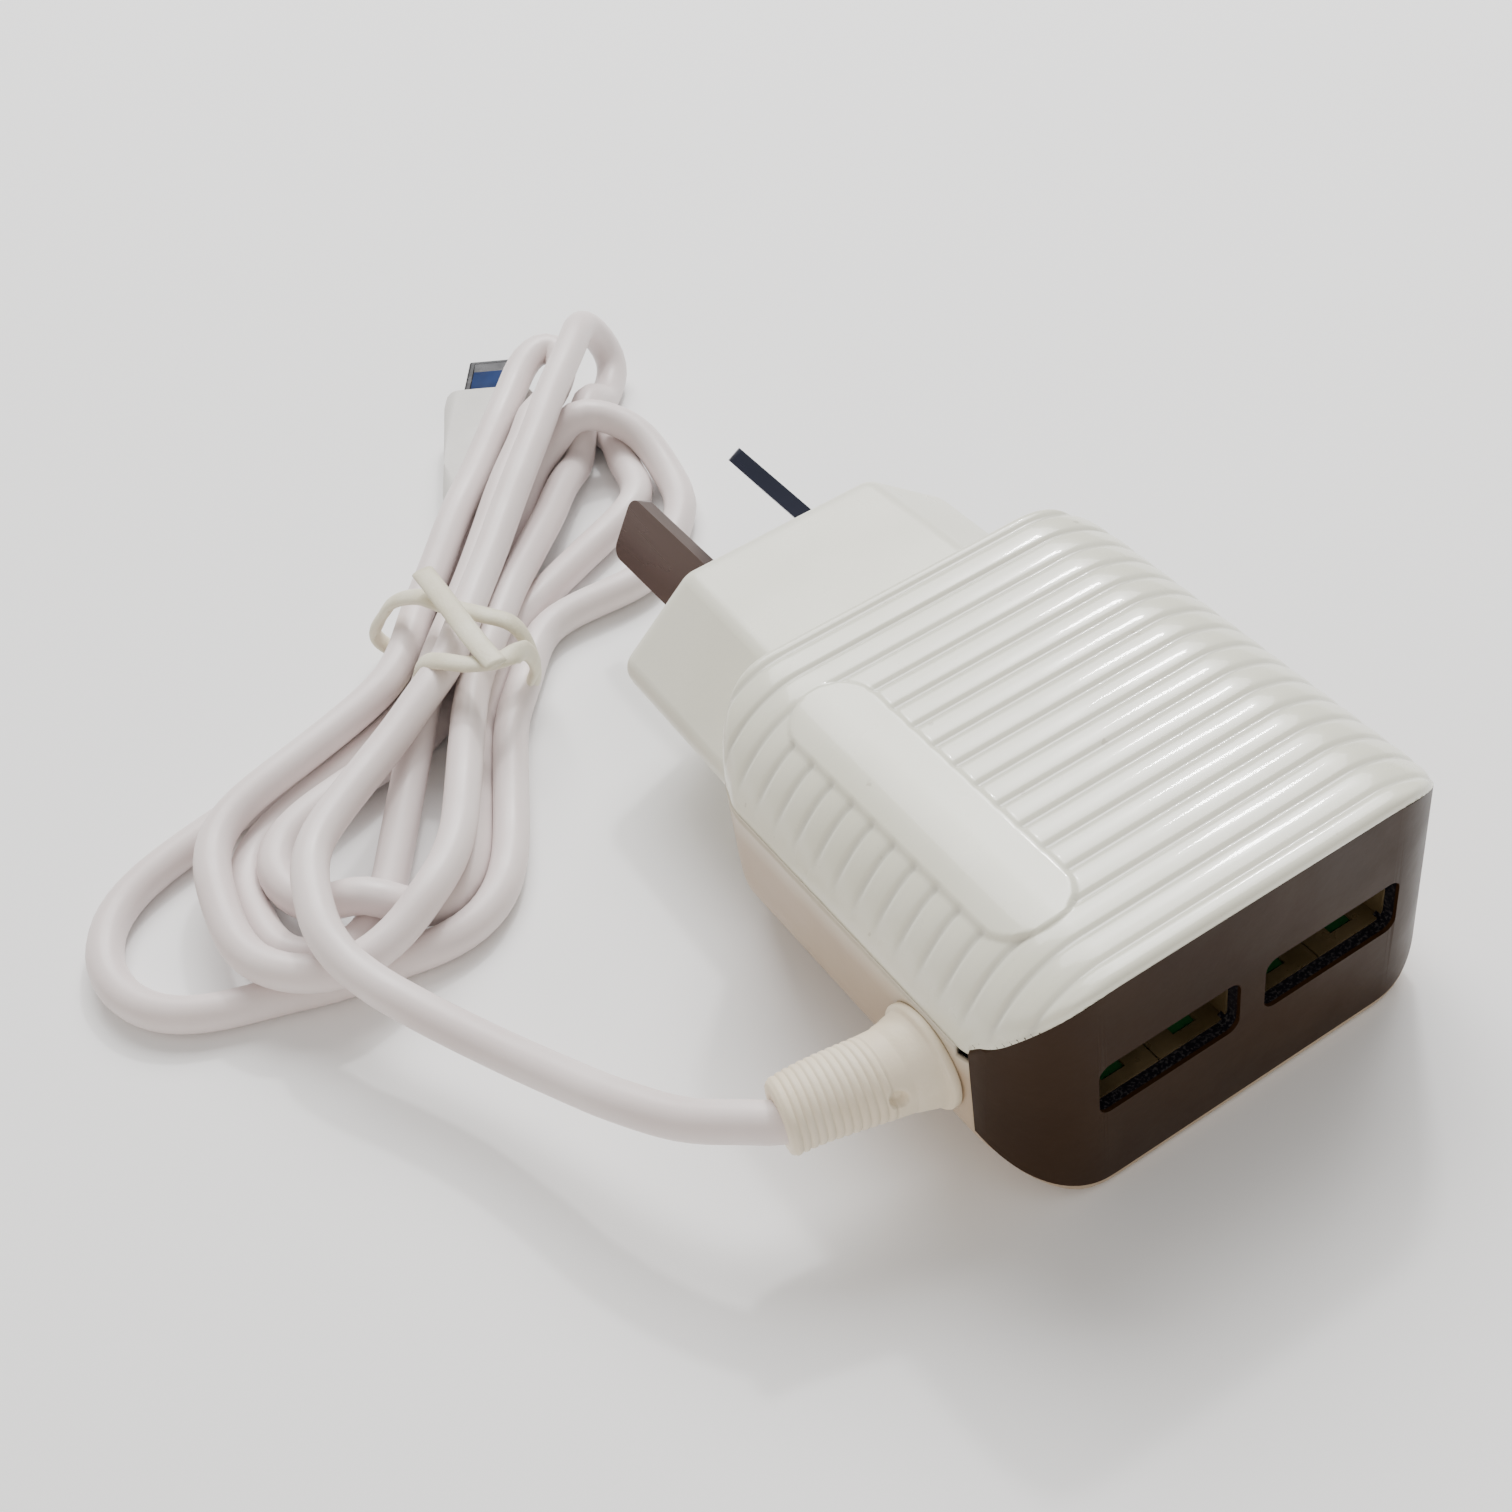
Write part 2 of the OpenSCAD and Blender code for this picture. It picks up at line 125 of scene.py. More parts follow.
def cut_across(bm, spot, normal):
    everything = bm.verts[:] + bm.edges[:] + bm.faces[:]
    bmesh.ops.bisect_plane(bm, geom=everything, plane_co=spot, plane_no=normal)


def ease(low, high, value):
    """Goes smoothly from 0 at low to 1 at high."""
    t = min(1.0, max(0.0, (value - low) / (high - low)))
    return t * t * (3 - 2 * t)

# %% [markdown]
# ## The cord's route
# The cord leaves the boot, crosses the table in a loose curve and is folded into a bundle: eight loops
# pinched by a tie at the waist. The free stretch is a short list of points. Each loop is laid the way a
# person would wind it, round one to three pegs: a peg has a place, a radius, and the cord's height where it
# meets the peg and where it leaves it. Straight runs then join the pegs. A simulated cord could fall in a
# heap, but it wouldn't fold into this bundle, so the winding is done on purpose.

# %% Free stretch, pegs and waist
cord_d = 3.4
LEAD = [(-18, relief_y, relief_z), (-26, relief_y, relief_z), (-33, -28, 11.5), (-36, -25.5, 11),
        (-39, -22, 10), (-42, -16.5, 9), (-44, -11.5, 8), (-47, -4, 7), (-50, 3, 7), (-52, 8, 7.5),
        (-53, 13, 8), (-52, 18, 8.5)]
LEAD_PEG = [(-42, 17.5, 9.8, 8.6, 8.2)]
LOOPS = [
    [(9.4, 76.4, 1.2, 8.2, 1.8)],
    [(-45, 23, 7.6, 5.4, 5.6), (-50.5, 21, 8.6, 5.2, 5), (-49.5, 28.5, 8.2, 5, 5.2)],
    [(2.6, 75.1, 2.2, 7.8, 7.8)],
    [(-51, 22.5, 5.2, 1.7, 1.7), (-49, 28.5, 6.4, 1.7, 1.7)],
    [(-2, 64.5, 5.4, 1.8, 1.8), (-3.5, 58.5, 6, 1.8, 1.8)],
    [(-42.5, 22.5, 6.2, 1.8, 2.6), (-47, 27, 6, 3, 3)],
    [(-1.5, 59.5, 6.2, 5, 3), (-2, 53.5, 6.6, 1.8, 1.8), (-6, 47.5, 5, 1.8, 1.8)],
    [(-43, 21, 8.6, 1.7, 1.7), (-59.5, 27.5, 10, 1.7, 1.7)],
]
# Each strand's place in the waist: across the bundle, and its height.
WAIST = [(1.6, 7.6), (3.6, 5), (-5, 5), (-0.8, 5.2), (-3, 1.7), (3.6, 1.7), (0.3, 1.7), (6.6, 1.7),
         (-6.4, 1.7)]
waist_x, waist_y = -26.5, 43
waist_turn = math.radians(47)
pinch = 5  # half the length of the stretch that the tie holds straight
lead_in = 7  # where the free stretch comes into the waist
peg_step = math.radians(30)
full_turn = 2 * math.pi
skip_from = 1.9 * math.pi  # a turn this long means that the cord only touches the peg
PLUG_END = [(-18.3, 57.8, 2.4), (-15.8, 61.4, 3), (-12.5, 65.6, 3)]


def waist_point(place, run):
    """A point at a strand's place in the waist, run millimetres along the bundle."""
    across, height = place
    return (waist_x + run * math.cos(waist_turn) + across * math.sin(waist_turn),
            waist_y + run * math.sin(waist_turn) - across * math.cos(waist_turn), height)


def leave_angle(peg, following):
    """Where the straight run to the following peg leaves this one."""
    away = math.atan2(following[1] - peg[1], following[0] - peg[0])
    return away + math.acos((peg[2] - following[2]) / math.dist(peg[:2], following[:2]))


def round_pegs(start, pegs, end):
    stops = [(start[0], start[1], 0), *pegs, (end[0], end[1], 0)]
    points = []
    for before, peg, after in zip(stops, stops[1:], stops[2:]):
        first, last = leave_angle(before, peg), leave_angle(peg, after)
        turn = (first - last) % full_turn
        turn = 0 if turn > skip_from else turn
        steps = max(1, math.ceil(turn / peg_step))
        for i in range(steps + 1):
            a = first - turn * i / steps
            points.append((peg[0] + peg[2] * math.cos(a), peg[1] + peg[2] * math.sin(a),
                           peg[3] + (peg[4] - peg[3]) * i / steps))
    return points


route = LEAD + round_pegs(LEAD[-1], LEAD_PEG, waist_point(WAIST[0], -lead_in))[1:]
for number, pegs in enumerate(LOOPS):
    side = 1 if number % 2 == 0 else -1
    leaving = waist_point(WAIST[number], pinch * side)
    route += [waist_point(WAIST[number], -pinch * side), leaving]
    route += round_pegs(leaving, pegs, waist_point(WAIST[number + 1], pinch * side))
route += [waist_point(WAIST[-1], -pinch), waist_point(WAIST[-1], pinch)] + PLUG_END
print("route points:", len(route))

# %% [markdown]
# ## Laying the cord
# A cord can't pass through itself. The route is sampled every 1.2 mm, then relaxed: touching strands push
# each other apart, the table holds them up, and the cord's stiffness straightens each short bend. The first
# stretch stays on the route, and so does the end in the small plug. The pegs alone would leave strands
# running through each other where they cross.

# %% Sample and relax
def knot_spans(row, knots, level):
    """The pairs of points, and the knots between them, that one level of the curve joins."""
    spans = {1: [(0, 1), (1, 2), (2, 3)], 2: [(0, 2), (1, 3)], 3: [(1, 2)]}[level]
    return [(row[i], row[i + 1], knots[a], knots[b]) for i, (a, b) in enumerate(spans)]


def smooth_line(points, step):
    """A smooth curve through the points, as samples about a step apart."""
    p = np.array(points, float)
    p = np.vstack([2 * p[0] - p[1], p, 2 * p[-1] - p[-2]])
    dense = []
    for i in range(1, len(p) - 2):
        knots = np.cumsum([0] + [np.linalg.norm(p[i + k] - p[i + k - 1]) ** 0.5 + 1e-6 for k in range(3)])
        for t in np.linspace(knots[1], knots[2], 12, endpoint=False):
            row = [p[i - 1 + k] for k in range(4)]
            for level in (1, 2, 3):
                row = [((knots_b - t) * a + (t - knots_a) * b) / (knots_b - knots_a)
                       for a, b, knots_a, knots_b in knot_spans(row, knots, level)]
            dense.append(row[0])
    dense = np.array(dense + [p[-2]])
    length = np.concatenate([[0], np.cumsum(np.linalg.norm(np.diff(dense, axis=0), axis=1))])
    even = np.linspace(0, length[-1], round(length[-1] / step))
    return np.stack([np.interp(even, length, dense[:, k]) for k in range(3)], 1)


step = 1.2
held_start, held_end = 60, 4  # millimetres at the boot, samples in the small plug
neighbours = 8  # samples this close along the cord never push each other
rounds, largest_move = 60, 0.4
push, push_by_axis = 0.25, (0.6, 0.6, 1.4)
stiffness = 0.06
line = smooth_line(route, step)
held = np.zeros(len(line), bool)
held[:round(held_start / step)] = True
held[-held_end:] = True
apart = np.abs(np.subtract.outer(np.arange(len(line)), np.arange(len(line)))) > neighbours
for _ in range(rounds):
    gap = line[:, None] - line[None]
    far = np.linalg.norm(gap, axis=2) + 1e-9
    press = np.where(apart & (far < cord_d), (cord_d - far) / far, 0)
    move = push * (press[:, :, None] * gap * push_by_axis).sum(1)
    bend = line[:-4] - 4 * line[1:-3] + 6 * line[2:-2] - 4 * line[3:-1] + line[4:]
    move[2:-2] -= stiffness * bend
    line[~held] += np.clip(move, -largest_move, largest_move)[~held]
    line[:, 2] = np.maximum(line[:, 2], cord_d / 2)

# %% [markdown]
# ## The cord itself
# The cord is one curve with a round section, which keeps its centreline for anyone who wants to lay it
# again. A swept mesh would look the same and lose that. The section has a radius of one unit, and each point
# scales it to the cord's own radius. Blender counts a point's radius in the bounding box, so this keeps the
# box true.

# %% Make the cord
def cord_piece(name, points, diameter):
    data = bpy.data.curves.new(name, "CURVE")
    data.dimensions = "3D"
    data.bevel_depth, data.bevel_resolution = 1, 6
    data.use_fill_caps = True
    spline = data.splines.new("POLY")
    spline.points.add(len(points) - 1)
    for target, p in zip(spline.points, points):
        target.co = (*[c * MM for c in p], 1)
        target.radius = diameter / 2 * MM
    spline.use_smooth = True
    piece = bpy.data.objects.new(name, data)
    bpy.context.collection.objects.link(piece)
    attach(piece, "root")
    print(name, "has", len(points), "points")
    return piece


cord = cord_piece("charging_cord", line, cord_d)
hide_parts("cord_lead", "cord_hank")

# %% [markdown]
# ## Tubes and strips with a mesh
# The tie is a flat coated strip. A ring of vertices is set at each point of its path and the rings are
# bridged, which is what a sweep does. A bevelled curve would do for a round wire, but it can't keep a flat
# strip facing one way.

# %% Sweep helper
def sweep(bm, points, half_wide, half_thick, flat_dir, sides=12):
    rings = []
    points = [Vector(p) for p in points]
    for i, centre in enumerate(points):
        run = (points[min(i + 1, len(points) - 1)] - points[max(i - 1, 0)]).normalized()
        across = flat_dir(i) if callable(flat_dir) else Vector(flat_dir)
        across = (across - across.dot(run) * run).normalized()
        up = run.cross(across)
        spot = Matrix((across, up, run)).transposed().to_4x4()
        spot.translation = centre
        made = bmesh.ops.create_circle(bm, segments=sides, radius=1)["verts"]
        bmesh.ops.scale(bm, vec=(half_wide, half_thick, 1), verts=made)
        bmesh.ops.transform(bm, matrix=spot, verts=made)
        rings.append(made)
    edges = [list({e for v in ring for e in v.link_edges}) for ring in rings]
    for ring in (rings[0], rings[-1]):
        bmesh.ops.contextual_create(bm, geom=ring)
    for first, second in zip(edges, edges[1:]):
        bmesh.ops.bridge_loops(bm, edges=first + second)

# %% [markdown]
# ## Twist tie
# Two turns of a cream strip round the bundle's waist, a little apart on the camera's side, with the twisted
# end laid over them. Each turn is a short list of points round the bundle, joined by a smooth curve.

# %% Tie
UPPER_TURN = [(-31.5, 51, 4), (-29.5, 49, 8), (-27.5, 46, 9.7), (-26, 42.5, 9.9), (-24, 39.5, 9.8),
              (-22, 37, 9), (-21.3, 36, 5), (-22, 36.5, 1.3), (-26, 43, 0.8), (-30.5, 51, 1.3)]
LOWER_TURN = [(-32, 40, 5), (-31.2, 38.4, 8.6), (-30.2, 36, 10), (-28.5, 33.6, 10.3), (-26.3, 32.2, 10.3),
              (-24.2, 32.4, 9.8), (-22.4, 34.2, 7.8), (-21.6, 35.5, 4), (-24, 36.5, 1.1), (-29, 40, 0.8),
              (-31.5, 41.5, 2)]
LOOSE_END = [(-26.4, 46.2, 12.2), (-26.5, 42.5, 12), (-26.6, 39, 11.7), (-26.7, 35, 11.3),
             (-26.6, 31, 10.9)]
tie_step = 0.5
bm = bmesh.new()
bundle_dir = (math.cos(waist_turn), math.sin(waist_turn), 0)
for turn_points in (UPPER_TURN, LOWER_TURN):
    sweep(bm, smooth_line(turn_points + turn_points[:2], tie_step), 1.0, 0.5, bundle_dir)
sweep(bm, smooth_line(LOOSE_END, tie_step), 1.1, 0.35, (1, 0.2, 0))
tie = add_piece("twist_tie_strip", bm, ["twist_tie"])

# %% [markdown]
# ## Small plug
# The grip is one soft moulding: a rounded box that tapers to the cord. It could be lofted from sections, but
# a cube that is cut across, narrowed at the cord's end and rounded by two bevels gives the same shape.

# %% Grip of the small plug
plug_x, plug_y, plug_z = -3, 79, 3
plug_turn = math.radians(55 - 90)
grip_size = (10, 20, 6)
taper_start, taper_end = -14.5, -22
to_plug = Matrix.Translation((plug_x, plug_y, plug_z)) @ Matrix.Rotation(plug_turn, 4, "Z")
bm = bmesh.new()
bmesh.ops.create_cube(bm, size=1)
bmesh.ops.scale(bm, vec=grip_size, verts=bm.verts)
bmesh.ops.translate(bm, vec=(0, -12, 0), verts=bm.verts)
for cut_y in (-4, -15, -19):
    cut_across(bm, (0, cut_y, 0), (0, 1, 0))
for v in bm.verts:
    narrow = ease(taper_start, taper_end, v.co.y)
    v.co.x *= 1 - 0.56 * narrow
    v.co.z *= 1 - 0.25 * narrow
long_edges = [e for e in bm.edges if abs(e.verts[0].co.y - e.verts[1].co.y) > 1]
round_edges(bm, long_edges, 1.7, 5)
rims = [e for e in bm.edges if e.is_manifold and e.calc_face_angle(0) > 1.2]
round_edges(bm, rims, 0.5, 3)
bmesh.ops.transform(bm, matrix=to_plug, verts=bm.verts)
grip = add_piece("plug_grip", bm, ["plug_overmould"])
level_normals(grip)

# %% [markdown]
# ## Steel shell of the small plug
# The plug's shell is folded from thin blued steel. Its upper face is pressed in a little inside a dark rim.
# A sheet could be folded step by step, but only the outside and the hollow end show, so a box with inset
# faces is enough.

# %% Shell of the small plug
bm = bmesh.new()
bmesh.ops.create_cube(bm, size=1)
bmesh.ops.scale(bm, vec=(6.85, 8.2, 1.9), verts=bm.verts)
bmesh.ops.translate(bm, vec=(0, 1.1, 0.35), verts=bm.verts)
lengthwise = [e for e in bm.edges if abs(e.verts[0].co.y - e.verts[1].co.y) > 1]
round_edges(bm, lengthwise, 0.3, 3)
bm.faces.ensure_lookup_table()
face = max(bm.faces, key=lambda f: f.calc_center_median().z + f.calc_area() * 0.1)
bmesh.ops.inset_region(bm, faces=[face], thickness=0.55, depth=0)
bmesh.ops.inset_region(bm, faces=[face], thickness=0.12, depth=-0.1)
end_face = max(bm.faces, key=lambda f: f.calc_center_median().y)
bmesh.ops.inset_region(bm, faces=[end_face], thickness=0.25, depth=0)
bmesh.ops.translate(bm, vec=(0, -4.5, 0), verts=end_face.verts)
bmesh.ops.transform(bm, matrix=to_plug, verts=bm.verts)
plug_shell = add_piece("plug_shell_skin", bm, ["plug_shell"], smooth=False)

# %% [markdown]

# %% [markdown]
# ## A skin wrapped on a grid
# The cover and the lower shell are thin mouldings. A flat grid is made once, and each of its points is set on
# the housing's section: how far round the section it is, and which station of the length it belongs to. The
# first and last stations turn inwards, which rounds the rims. A box with bevelled edges would be quicker, but
# its shoulders and upright corners would have one radius, and these have three.

# %% Section and plan of the housing
lip_top, lip_bottom = 0.85, 0.9
rim_r = 0.7
closest = 0.06  # stations nearer than this are dropped
notch_end = panel_end + 1.2
cover_start = math.degrees(math.asin((part_z - (top_z - shoulder_r)) / shoulder_r))


def upper_section(angle, inset):
    """A point of the upper half; angle runs from the right side, 0, over the top, 90, to the left, 180."""
    side = 1 if angle < 90 else -1
    c, s = math.cos(math.radians(angle)), math.sin(math.radians(angle))
    radius = shoulder_r - inset
    return side * (half_w - shoulder_r) + radius * c, top_z - shoulder_r + radius * s


def lower_section(angle, inset):
    """A point of the lower half; angle runs from the right, 0, under the floor, -90, to the left, -180."""
    side = 1 if angle > -90 else -1
    c, s = math.cos(math.radians(angle)), math.sin(math.radians(angle))
    return side * (half_w - belly_r) + (belly_r - inset) * c, belly_r + (belly_r - inset) * s


def keep_in_plan(x, y, inset):
    """Rounds the upright corners: x is held inside the plan, with a soft edge where it is cut."""
    into = min(y - front_y, rear_y - y, corner_r)
    limit = half_w - corner_r + math.sqrt(max(0, corner_r ** 2 - (corner_r - into) ** 2)) - inset
    soft = 1.6
    limit += soft * ease(0.6 * corner_r, corner_r, into)
    near_cut = max(0, soft - abs(abs(x) - limit)) / soft
    return math.copysign(min(abs(x), limit) - near_cut * near_cut * soft / 4, x)


def panel_edge(x, above):
    """Height of the brown panel's upper or lower edge at a distance x from the middle."""
    radius = shoulder_r if above else belly_r
    past_flat = min(max(0, abs(x) - (half_w + 0.15 - radius)), radius)
    if above:
        return top_z - lip_top - shoulder_r + math.sqrt(shoulder_r ** 2 - past_flat ** 2)
    return lip_bottom + belly_r - math.sqrt(belly_r ** 2 - past_flat ** 2)


def stations(fine):
    """Places along the housing, closer together round the upright corners."""
    spots = [front_y + corner_r * (1 - math.cos(math.radians(a))) for a in range(4, 91, 4)]
    spots += [front_y + rear_y - y for y in spots]
    spots += list(np.arange(front_y + rim_r, rear_y - rim_r, fine))
    spots = sorted(y for y in spots if front_y + rim_r <= y <= rear_y - rim_r)
    spots = [a for a, b in zip(spots, spots[1:] + [1e9]) if b - a > closest]
    edges = [panel_end - 0.01, panel_end + 0.01, notch_end - 0.01, notch_end + 0.01]
    return sorted([y for y in spots if min(abs(y - e) for e in edges) > closest] + edges)


def skin(places_round, rows, place):
    bm = bmesh.new()
    bmesh.ops.create_grid(bm, x_segments=len(places_round) - 1, y_segments=len(rows) - 1, size=0.5)
    groove = bm.verts.layers.float.new("groove")
    for v in bm.verts:
        spot = places_round[round((v.co.x + 0.5) * (len(places_round) - 1))]
        row = rows[round((v.co.y + 0.5) * (len(rows) - 1))]
        v.co, v[groove] = place(spot, row)
    bmesh.ops.remove_doubles(bm, verts=bm.verts, dist=0.004)
    return bm

# %% [markdown]
# ## Ribbed cover
# Ribs 2.7 mm apart run across the cover and over both shoulders, where they fade out. Between them are soft,
# shallow grooves. A blank label pad with round ends stands a quarter of a millimetre above the ribs. A bump
# map could draw the ribs, but they would be flat at the cover's edge, so they are real geometry on a fine
# grid. Each groove's depth is kept as an attribute, so that the finish can darken the grooves a little.

# %% Cover
rib_pitch, groove_deep, first_groove = 2.7, 0.2, 1.9
groove_half, rib_swell, pad_stand = 0.26, 0.03, 0.24
pad_x, pad_y, pad_w, pad_l, pad_r = -12.9, front_y + 22, 7.4, 30.4, 3.4


def pad_edge(x, y):
    dx = max(0, abs(x - pad_x) - (pad_w / 2 - pad_r))
    dy = max(0, abs(y - pad_y) - (pad_l / 2 - pad_r))
    return math.hypot(dx, dy) - pad_r


def cover_place(spot, row):
    (angle, flat), (y, inset) = spot, row
    x0 = upper_section(angle, 0)[0] if flat is None else flat
    on_front = ease(front_y + 1.2, front_y + 2.2, y) * ease(rear_y - 0.5, rear_y - 1, y)
    fade = ease(14, 42, angle if angle <= 90 else 180 - angle) * on_front
    off = (y - front_y - first_groove + rib_pitch / 2) % rib_pitch - rib_pitch / 2
    deep = groove_deep * math.exp(-(off / groove_half) ** 2)
    deep += rib_swell * (1 + math.cos(2 * math.pi * off / rib_pitch))
    pad = ease(0.2, -0.05, pad_edge(x0, y)) if angle >= 90 else 0
    sink = deep * fade * (1 - pad) - pad_stand * pad
    x, z = upper_section(angle, inset + sink)
    x = keep_in_plan(x if flat is None else flat, y, inset)
    if y < panel_end:
        z = max(z, panel_edge(x, True))
    return Vector((x, y, z)), deep * fade * (1 - pad) / groove_deep


arc_step, arc_turn = 0.24, 1.36
arc_count = round(shoulder_r * arc_turn / arc_step)
arcs = [(a, None) for a in np.linspace(cover_start, 89.99, arc_count)]
flats = [(90.01, x) for x in np.arange(half_w - shoulder_r - arc_step, -(half_w - shoulder_r), -arc_step)]
left_arcs = [(a, None) for a in np.linspace(90.02, 180 - cover_start, arc_count)]
nose = [(front_y + rim_r * (1 - math.cos(a)), rim_r * (1 - math.sin(a)))
        for a in np.linspace(0, math.pi / 2, 6)]
tail = [(rear_y - rim_r * (1 - math.cos(a)), rim_r * (1 - math.sin(a)))
        for a in np.linspace(math.pi / 2, 0, 6)]
rear_rows = [(rear_y, inset) for inset in (1.5, 3, 4.5, 6.5)]
cover_rows = [(front_y, lip_top)] + nose[:-1] + [(y, 0) for y in stations(0.225)] + tail[1:] + rear_rows
bm = skin(arcs + flats + left_arcs, cover_rows, cover_place)
skin_t = 0.35
cover = add_piece("ribbed_cover", bm, ["top_cover"])
wall = cover.modifiers.new("wall", "SOLIDIFY")
wall.thickness, wall.offset = skin_t * MM, -1

# %% [markdown]
# ## Lower shell
# The lower half of the housing, made on the same kind of grid. It has no ribs, so its grid could be as fine as
# the cover's but is coarser. Its front rim is the thin lip below the brown panel. A small notch behind the
# panel's left corner shows the snap joint's clearance. Four posts inside carry the board.

# %% Lower shell
def shell_place(spot, row):
    (angle, flat, high), (y, inset) = spot, row
    x, z = lower_section(angle, inset)
    x = keep_in_plan(x if flat is None else flat, y, inset)
    z = z if high is None else high
    if y < panel_end:
        z = min(z, panel_edge(x, False))
    elif y < notch_end and x < 0:
        z = min(z, part_z - 0.9)
    return Vector((x, y, z)), 0.0


def side_run(angle):
    return [(angle, None, z) for z in np.linspace(belly_r + 0.3, part_z - 0.02, 14)]


arc = [(a, None, None) for a in np.linspace(0, -89.99, 40)]
other_arc = [(a, None, None) for a in np.linspace(-90.02, -180, 40)]
floor_run = [(-90.01, x, None) for x in np.linspace(half_w - belly_r - 0.6, -(half_w - belly_r) + 0.6, 24)]
shell_rows = [(front_y, lip_bottom)] + nose[:-1]
shell_rows += [(y, 0) for y in stations(0.8)] + tail[1:] + rear_rows
bm = skin(side_run(0)[::-1] + arc + floor_run + other_arc + side_run(-180), shell_rows, shell_place)
post_x, post_in, post_r, post_h, post_z = 13, 8, 1.6, 5.6, 3.6
for x in (-post_x, post_x):
    for y in (front_y + post_in, rear_y - post_in):
        post = bmesh.ops.create_cone(bm, cap_ends=True, segments=24, radius1=post_r, radius2=post_r,
                                     depth=post_h)["verts"]
        bmesh.ops.translate(bm, vec=(x, y, post_z), verts=post)
shell = add_piece("lower_shell_skin", bm, ["lower_shell"])
wall = shell.modifiers.new("wall", "SOLIDIFY")
wall.thickness, wall.offset = skin_t * MM, -1

# %% [markdown]
# ## Plug block
# A six-sided block with a flat top and a rounded ridge along each side carries the two blades. A bevelled
# prism could make it, but its flats and ridges have different radii. So its outline is the hull of six
# circles: in each direction, the circle that reaches furthest gives the point. Near the end, the rings draw
# inwards to round its edge.

# %% Plug block
block_z, block_h = 10.8, 14.8
flat_r, ridge_r, end_r = 2.5, 2, 1.6


def block_outline(flat, ridge, high, inset, turns):
    rounds = [(s * (flat - flat_r), block_z + e * (high / 2 - flat_r), flat_r)
              for s in (1, -1) for e in (1, -1)]
    rounds += [(s * (ridge - ridge_r), block_z, ridge_r) for s in (1, -1)]
    points = []
    for a in turns:
        n = (math.cos(a), math.sin(a))
        cx, cz, r = max(rounds, key=lambda c: c[0] * n[0] + c[1] * n[1] + c[2])
        points.append((cx + (r - inset) * n[0], cz + (r - inset) * n[1]))
    return points


turns = np.linspace(0, 2 * math.pi, 145)[:-1]
length = block_end - rear_y
# Each row: its place, half the flat's width, half the width at the ridges, its height and its inset.
block_rows = [(rear_y - 3, 12.2, 18.2, block_h, 0), (rear_y + 1, 12.2, 18.2, block_h, 0)]
block_rows += [(rear_y + 1 + (length - 3) * t, 12.2 - 0.6 * t, 18.2 - 0.4 * t, block_h - 0.2 * t, 0)
               for t in (0.25, 0.5, 0.75, 1)]
block_rows += [(block_end - end_r + end_r * math.sin(a), 11.55, 17.75, block_h - 0.2,
                end_r * (1 - math.cos(a))) for a in np.linspace(0.15, math.pi / 2, 7)]
bm = bmesh.new()
rings = []
for y, flat, ridge, high, inset in block_rows:
    made = bmesh.ops.create_circle(bm, segments=len(turns), radius=1)["verts"]
    for v, (x, z) in zip(made, block_outline(flat, ridge, high, inset, turns)):
        v.co = (x, y, z)
    rings.append(list({e for v in made for e in v.link_edges}))
    if len(rings) in (1, len(block_rows)):
        bmesh.ops.contextual_create(bm, geom=made)
for first, second in zip(rings, rings[1:]):
    bmesh.ops.bridge_loops(bm, edges=first + second)
block = add_piece("plug_block_skin", bm, ["plug_block"])
level_normals(block)

# %% [markdown]
# ## Strain relief boot
# The boot is turned like a bead on a lathe: half its outline is spun round the cord. A flange sits on the
# housing, then comes a smooth neck and twelve fine rings. Separate rings could be set along a tube, but one
# spun outline has no seams between them. The outer end leans with the cord.

# %% Boot
rings_n, ring_pitch = 12, 0.62
ring_start = 11.85 - rings_n * ring_pitch


def boot_r(run):
    """Radius of the boot's rings at a distance from the housing."""
    return 3.4 - 0.45 * (run - ring_start) / (12 - ring_start)


profile = [(1, -1.2), (3.6, -1.2), (3.6, 0), (4.3, 0), (4.45, 0.12), (4.45, 0.6), (4.35, 0.75),
           (4.1, 0.8), (4, 1), (3.9, 1.5), (3.72, 2.1), (3.6, 2.7)]
profile += [(boot_r(ring_start) + 0.1 * (1 - t), 2.9 + (ring_start - 3) * t) for t in np.linspace(0, 1, 12)]
for i in range(rings_n):
    run = ring_start + i * ring_pitch
    crest = boot_r(run)
    profile += [(crest - 0.12, run), (crest - 0.04, run + 0.07), (crest, run + 0.18),
                (crest, run + 0.36), (crest - 0.04, run + 0.48), (crest - 0.12, run + 0.55)]
profile += [(2.85, 11.9), (2.7, 12.05), (1, 12.05)]
bm = bmesh.new()
outline = [bm.verts.new((r, 0, run)) for r, run in profile]
edges = [bm.edges.new(pair) for pair in zip(outline, outline[1:] + outline[:1])]
bmesh.ops.spin(bm, geom=outline + edges, cent=(0, 0, 0), axis=(0, 0, 1), angle=full_turn, steps=96,
               use_merge=True)
bmesh.ops.remove_doubles(bm, verts=bm.verts, dist=0.001)
to_side = Matrix.Translation((-half_w, relief_y, relief_z)) @ Matrix.Rotation(-math.pi / 2, 4, "Y")
bmesh.ops.transform(bm, matrix=to_side, verts=bm.verts)
dimple = Vector((-half_w - 4.2, relief_y - 3.25, relief_z + 0.95))
for v in bm.verts:
    outward = Vector((0, v.co.y - relief_y, v.co.z - relief_z))
    v.co -= 0.2 * outward * ease(0.75, 0.5, (v.co - dimple).length)
    lean = ease(-half_w, relief_tip, v.co.x)
    v.co.x += 0.2 * lean * (v.co.y - relief_y)
    v.co.y += 1.9 * lean - 1.1
boot = add_piece("ringed_boot", bm, ["strain_relief"])

